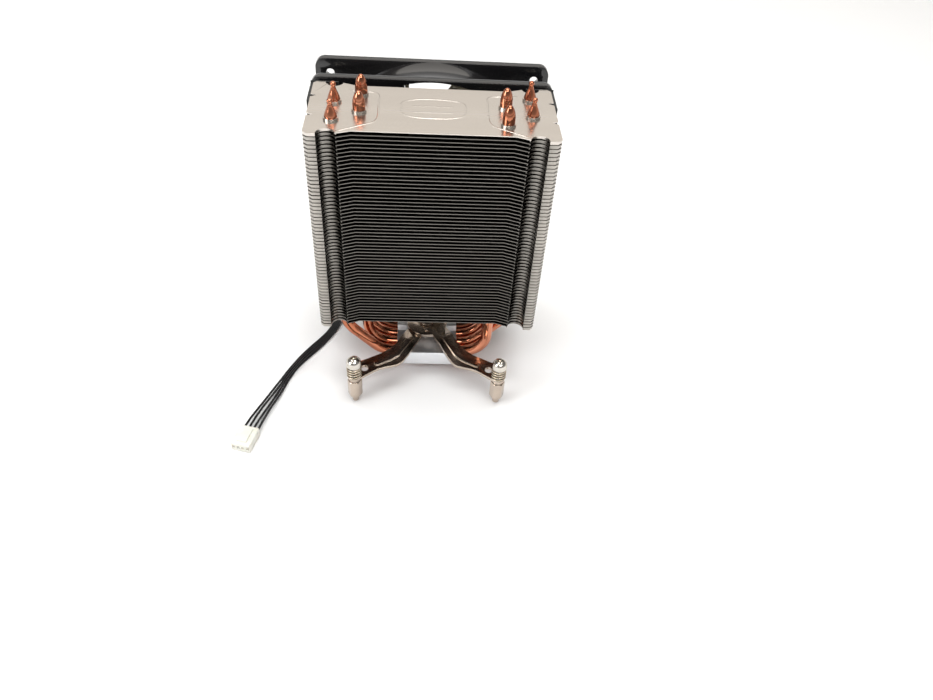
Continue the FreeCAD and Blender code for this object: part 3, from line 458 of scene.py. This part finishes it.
def fin_edge():
    """The outline of a fin: one quarter with its notch, chamfer, wing, arch and recess, mirrored to all four.
    The sheets sit a little forward of the pipes, and the notches don't."""
    def quarter(notch_y):
        """One corner, from its notch out round the wing and into the arch, to where the recess starts."""
        return np.vstack([[(58.0, notch_y - 1.5), (55.2, notch_y), (58.0, notch_y + 1.5), (58.0, 23.7),
                           (56.2, 25.5)], WING_ARCH, [(37.0, 22.0)]])
    rear, front = quarter(9.4 - FIN_Y), quarter(9.4 + FIN_Y)
    return np.vstack([rear, rear[::-1] * (-1, 1), front * (-1, -1), front[::-1] * (1, -1)]) + (0, FIN_Y)


def skirt(line, low, drop):
    """A strip folded down along the edge of a sheet: a thin wall whose foot leans in a little. Its depth may
    change along the line."""
    line = np.asarray(line, float)
    foot = np.broadcast_to(low - np.asarray(drop, float), (len(line),))
    heading = unit(np.gradient(line, axis=0))
    inward = np.column_stack([-heading[:, 1], heading[:, 0]])
    head = np.full(len(line), low + FIN_GAUGE * 0.6)
    rows = [(0.0, head), (0.28, head), (0.62, foot), (0.34, foot)]
    points = np.stack([np.column_stack([line + inward * lean, z]) for lean, z in rows], 1)
    return points.reshape(-1, 3), ring_faces(len(line), 4)


def skirts(low, drop):
    """The four corners, each folded from its notch round the wing and into the arch, and the two short sides."""
    parts = []
    for sy in (-1, 1):
        corner = np.vstack([[(58.0, 9.4 - sy * FIN_Y + 1.9), (58.0, 16.0), (58.0, 23.7), (56.2, 25.5)], WING_ARCH])
        depth = np.concatenate([[drop] * 4, drop * np.interp(np.arange(len(WING_ARCH)), (0, 5, 11), (1, 0.75, 0.4))])
        for sx in (-1, 1):
            line = corner * (sx, sy) + (0, FIN_Y)
            way = 1 if sx * sy > 0 else -1
            parts.append(skirt(line[::way], low, depth[::way]))
    for sx in (-1, 1):
        parts.append(skirt([(sx * 58.0, -7.5 * sx), (sx * 58.0, 0), (sx * 58.0, 7.5 * sx)], low, drop))
    return parts


def plate(outline, holes, low, high):
    """A flat sheet with holes: the outline and holes filled at two levels, with a wall along every edge."""
    loops = [outline] + holes
    flat = np.vstack(loops)
    fill = tessellate_polygon([[Vector((x, y, 0)) for x, y in loop] for loop in loops])
    count = len(flat)
    tri = np.array(fill)
    corner = flat[tri]
    turn = np.cross(corner[:, 1] - corner[:, 0], corner[:, 2] - corner[:, 0])
    tri = np.where((turn > 0)[:, None], tri, tri[:, ::-1])
    faces = (tri + count).tolist() + tri[:, ::-1].tolist()
    start = 0
    for n, loop in enumerate(loops):
        here = start + np.arange(len(loop))
        there = start + (np.arange(len(loop)) + 1) % len(loop)
        nxt = np.roll(loop, -1, axis=0)
        area = np.sum(loop[:, 0] * nxt[:, 1] - nxt[:, 0] * loop[:, 1])
        if (area > 0) == (n == 0):
            wall = np.stack([here, there, there + count, here + count], -1)
        else:
            wall = np.stack([there, here, here + count, there + count], -1)
        faces += wall.tolist()
        start += len(loop)
    points = np.vstack([np.column_stack([flat, np.full(count, z)]) for z in (low, high)])
    return points, faces


def circle(x, y, radius, sides):
    """Centre + radius (cos a, sin a), for evenly spaced a."""
    angle = np.linspace(0, 2 * math.pi, sides, endpoint=False)
    return np.column_stack([x + radius * np.cos(angle), y + radius * np.sin(angle)])


def ring_wall(x, y, inner, outer, low, high, sides):
    """A short collar: inner and outer walls between two levels, and a rim at each end."""
    rings = [circle(x, y, r, sides) for r in (inner, inner, outer, outer)]
    points = np.vstack([np.column_stack([ring, np.full(sides, z)])
                        for ring, z in zip(rings, (low, high, high, low))])
    side = np.arange(sides)
    after = (side + 1) % sides
    faces = []
    for a in range(4):
        b = (a + 1) % 4
        faces += np.stack([a * sides + side, b * sides + side, b * sides + after, a * sides + after], -1).tolist()
    return points, faces


def fin(low, collar_sides, collar_high, drop):
    """One sheet, its collars and the strips folded down along its wings and sides."""
    holes = [circle(x, y, HOLE_R, collar_sides) for x, y in PIPE_SPOTS]
    parts = [plate(fin_edge(), holes, low, low + FIN_GAUGE)]
    for x, y in PIPE_SPOTS:
        parts.append(ring_wall(x, y, HOLE_R, HOLE_R + 0.38, low + FIN_GAUGE * 0.6, low + FIN_GAUGE + collar_high,
                               collar_sides))
    return joined(parts + skirts(low, drop))


aluminium = worn(*shader("sheared_fin_edge", (0.66, 0.62, 0.57), 1.0, 0.3), scale=24,
                 tones=((0.56, 0.525, 0.48), (0.72, 0.68, 0.62)), rough=(0.22, 0.38), bump=0.00003,
                 stretch=(0.15, 3, 3))
# Painted shade: the flat faces of the sheets get a near-black colour in place of bright aluminium, for the shade in
# the narrow gaps between fins.
shade_painted_faces = worn(*shader("painted_shade_fin_face", (0.16, 0.15, 0.14), 1.0, 0.24), scale=24,
              tones=((0.12, 0.112, 0.105), (0.19, 0.18, 0.168)), rough=(0.18, 0.3), stretch=(0.15, 3, 3))
# Painted shade: the edge colour is darkened in the middle and the arches, where the fins shade each other, and left
# paler toward the outer corners.
SHADE_FADES_FROM, SHADE_FADES_TO, MIDDLE_PAINTED_SHADE, CORNER_PAINTED_SHADE = 0.046, 0.056, 0.28, 0.74
tree = aluminium.node_tree
surface = tree.nodes["Principled BSDF"]
apart = tree.nodes.new("ShaderNodeSeparateXYZ")
tree.links.new(tree.nodes.new("ShaderNodeTexCoord").outputs["Object"], apart.inputs[0])
from_middle = tree.nodes.new("ShaderNodeMath")
from_middle.operation = "ABSOLUTE"
tree.links.new(apart.outputs["X"], from_middle.inputs[0])
painted_shade_by_x = tree.nodes.new("ShaderNodeMapRange")
for socket, value in (("From Min", SHADE_FADES_FROM), ("From Max", SHADE_FADES_TO), ("To Min", MIDDLE_PAINTED_SHADE),
                      ("To Max", CORNER_PAINTED_SHADE)):
    painted_shade_by_x.inputs[socket].default_value = value
tree.links.new(from_middle.outputs[0], painted_shade_by_x.inputs["Value"])
# Painted shade: the edge colour is multiplied by the ramp above, darker toward the middle.
shaded = tree.nodes.new("ShaderNodeVectorMath")
shaded.operation = "SCALE"
tree.links.new(surface.inputs["Base Color"].links[0].from_socket, shaded.inputs[0])
tree.links.new(painted_shade_by_x.outputs[0], shaded.inputs["Scale"])
tree.links.new(shaded.outputs[0], surface.inputs["Base Color"])
one_points, one_faces = fin(0.0, 16, 0.75, 1.48)
lows = FIN_LOW + FIN_PITCH * np.arange(FIN_COUNT - 1)
stack_points = (one_points[None] + np.column_stack([0 * lows, 0 * lows, lows])[:, None]).reshape(-1, 3)
stack_faces = [[i + n * len(one_points) for i in face] for n in range(FIN_COUNT - 1) for face in one_faces]
stack = new_mesh("fin_sheets", stack_points * MM, stack_faces, aluminium, "tower", crease=30)
# The level faces of the sheets take the painted shade material, and the edges keep the aluminium.
stack.data.materials.append(shade_painted_faces)
normals = np.empty(len(stack.data.polygons) * 3)
stack.data.polygons.foreach_get("normal", normals)
stack.data.polygons.foreach_set("material_index", (np.abs(normals[2::3]) > 0.9).astype(int))
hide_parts("fin_stack")

# ---------------------------------------------------------------- top fin
# The uppermost sheet is the same stamping with a smoother face, a pressed bead round each group of pipe ends,
# a short crease at one corner and a plain pressed panel in the middle.
LEFT_BEAD = [(-44.1, -24.6), (-35.6, -19.6), (-28.4, -15.4), (-26.3, -13.0), (-25.4, -8.6), (-25.6, 2.0),
             (-25.9, 10.6), (-27.0, 13.4), (-29.2, 14.7), (-32.0, 14.9), (-41.0, 15.6)]
PANEL = [(-15.0, 0.0), (-14.4, 5.6), (-9.0, 8.6), (0.0, 9.4), (9.0, 8.6), (14.4, 5.6), (15.0, 0.0),
         (14.4, -5.6), (9.0, -8.6), (0.0, -9.4), (-9.0, -8.6), (-14.4, -5.6)]
CORNER_CREASE = [(-51.1, 21.6), (-53.4, 17.4), (-55.8, 12.7)]
BAR_LINES, BAR_HALF = (2.2, -3.8), 10.0


def bead(knots, wide, high, closed=False, count=90):
    """A low rounded ridge along a line on the sheet: half a wave across, high in the middle, flush at the sides."""
    knots = np.asarray(knots, float)
    if closed:
        knots = np.vstack([knots, knots[:1]])
    line, _ = evenly(np.column_stack([flowing(knots, count * 2), np.zeros(count * 2)]), count)
    heading = unit(np.gradient(line, axis=0))
    if closed:
        heading[0] = heading[-1] = unit(heading[0] + heading[-1])
    side = np.column_stack([-heading[:, 1], heading[:, 0], np.zeros(count)])
    over = np.linspace(-1, 1, 9)
    rise = np.cos(over * math.pi / 2) ** 1.2 * high
    ends = np.ones(count) if closed else np.clip(np.minimum(np.arange(count), count - 1 - np.arange(count)) / 4, 0, 1)
    points = line[:, None] + over[None, :, None] * side[:, None] * wide / 2
    points[..., 2] = FIN_TOP + FIN_GAUGE - 0.03 + rise[None] * ends[:, None] + 0.02
    under = points[:, ::-1].copy()
    under[..., 2] = FIN_TOP + FIN_GAUGE - 0.2
    ring = np.concatenate([points, under], 1)
    return ring.reshape(-1, 3), ring_faces(count, ring.shape[1])


top_holes = [circle(x, y, HOLE_R, 40) for x, y in PIPE_SPOTS]
top_parts = [plate(fin_edge(), top_holes, FIN_TOP, FIN_TOP + FIN_GAUGE)]
for x, y in PIPE_SPOTS:
    top_parts.append(ring_wall(x, y, HOLE_R, HOLE_R + 0.55, FIN_TOP + 0.2, FIN_TOP + FIN_GAUGE + 1.15, 40))
top_parts += skirts(FIN_TOP, 1.4)
top_parts.append(bead(LEFT_BEAD, 1.1, 0.17))
top_parts.append(bead([(-x, y) for x, y in LEFT_BEAD][::-1], 1.1, 0.17))
top_parts.append(bead(PANEL, 1.0, 0.15, closed=True, count=140))
top_parts.append(bead(CORNER_CREASE, 0.8, 0.1, count=30))
for y in BAR_LINES:
    top_parts.append(bead([(-BAR_HALF, y), (0, y), (BAR_HALF, y)], 1.1, 0.12, count=60))
satin, tree, surface, place = shader("satin_top_aluminium", (0.74, 0.69, 0.63), 1.0, 0.26)
worn(satin, tree, surface, place, 16, ((0.66, 0.61, 0.56), (0.73, 0.68, 0.625)), (0.20, 0.30), 0.000008,
     stretch=(0.2, 4, 1))
top_points, top_faces = joined(top_parts)
top = new_mesh("top_fin_sheet", top_points * MM, top_faces, satin, "tower", crease=30)
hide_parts("top_fin")

# ---------------------------------------------------------------- fan frame and clips
# A gloss black moulding of two square flanges joined by a round duct. A clip on each side is screwed to the
# near flange and hooks into the notches of the fins, over thin rubber pads.
gloss_black = worn(*shader("gloss_black_moulding", (0.010, 0.010, 0.011), 0.0, 0.12, Coat_Weight=0.35,
                           Coat_Roughness=0.06, Specular_IOR_Level=0.5),
                   scale=35, tones=((0.008, 0.008, 0.009), (0.014, 0.013, 0.013)), rough=(0.08, 0.2),
                   bump=0.00003)
softened("fan_frame", "fan_housing", gloss_black, 0.35 * MM, "tower")
clip_black = worn(*shader("satin_black_moulding", (0.014, 0.014, 0.014), 0.0, 0.35), scale=300,
                  tones=((0.011, 0.011, 0.011), (0.02, 0.02, 0.02)), rough=(0.28, 0.42), bump=0.00004)
for side in ("left", "right"):
    softened(f"fan_clip_{side}", f"clip_{side}", clip_black, 0.25 * MM, "tower")
rubber = worn(*shader("soft_black_rubber", (0.02, 0.02, 0.02), 0.0, 0.8), scale=400,
              tones=((0.016, 0.016, 0.016), (0.03, 0.03, 0.03)), bump=0.0001)
softened("vibration_pads", "rubber_pads", rubber, 0.15 * MM, "tower", steps=1)
softened("clip_screws", "clip_fixings", nickel, 0.2 * MM, "tower")

# ---------------------------------------------------------------- fan rotor
# Seven curved blades of smoked clear plastic round a hub, with fine moulding lines that run round the axis.
smoke, tree, surface, place = shader("smoked_clear_moulding", (0.46, 0.40, 0.29), 0.0, 0.12,
                                     Transmission_Weight=0.25, IOR=1.45)
worn(smoke, tree, surface, place, 90, ((0.40, 0.345, 0.245), (0.52, 0.46, 0.34)), (0.08, 0.18))
about_axis = tree.nodes.new("ShaderNodeMapping")
about_axis.inputs["Location"].default_value = (0, 0, -0.0908)
tree.links.new(place, about_axis.inputs["Vector"])
lines = tree.nodes.new("ShaderNodeTexWave")
lines.wave_type, lines.rings_direction = "RINGS", "Y"
lines.inputs["Scale"].default_value, lines.inputs["Distortion"].default_value = 210, 0.6
tree.links.new(about_axis.outputs[0], lines.inputs["Vector"])
ridge = tree.nodes.new("ShaderNodeBump")
ridge.inputs["Strength"].default_value, ridge.inputs["Distance"].default_value = 0.35, 0.00012
tree.links.new(lines.outputs["Fac"], ridge.inputs["Height"])
tree.links.new(ridge.outputs["Normal"], surface.inputs["Normal"])
softened("fan_rotor", "blade_wheel", smoke, 0.25 * MM, "rotor", steps=2)

# ---------------------------------------------------------------- motor inside the fan
for node, name, colour, metal, rough in (
        ("rotor_yoke", "drawn_steel_cup", (0.50, 0.50, 0.51), 1.0, 0.35),
        ("rotor_magnet", "bonded_ferrite", (0.06, 0.06, 0.06), 0.0, 0.6),
        ("rotor_shaft", "ground_steel", (0.60, 0.60, 0.61), 1.0, 0.2),
        ("bearing_sleeve", "sintered_bronze", (0.60, 0.42, 0.20), 1.0, 0.45),
        ("circuit_board", "green_laminate", (0.03, 0.18, 0.07), 0.0, 0.45),
        ("stator_core", "stacked_laminations", (0.40, 0.40, 0.42), 1.0, 0.45),
        ("stator_coils", "enamelled_wire", (0.58, 0.24, 0.09), 1.0, 0.3)):
    material = worn(*shader(name, colour, metal, rough), scale=350,
                    tones=(tuple(c * 0.8 for c in colour), tuple(min(c * 1.15, 1) for c in colour)),
                    rough=(rough * 0.85, rough * 1.15), bump=0.00003)
    nodes[node].data.materials.clear()
    nodes[node].data.materials.append(material)
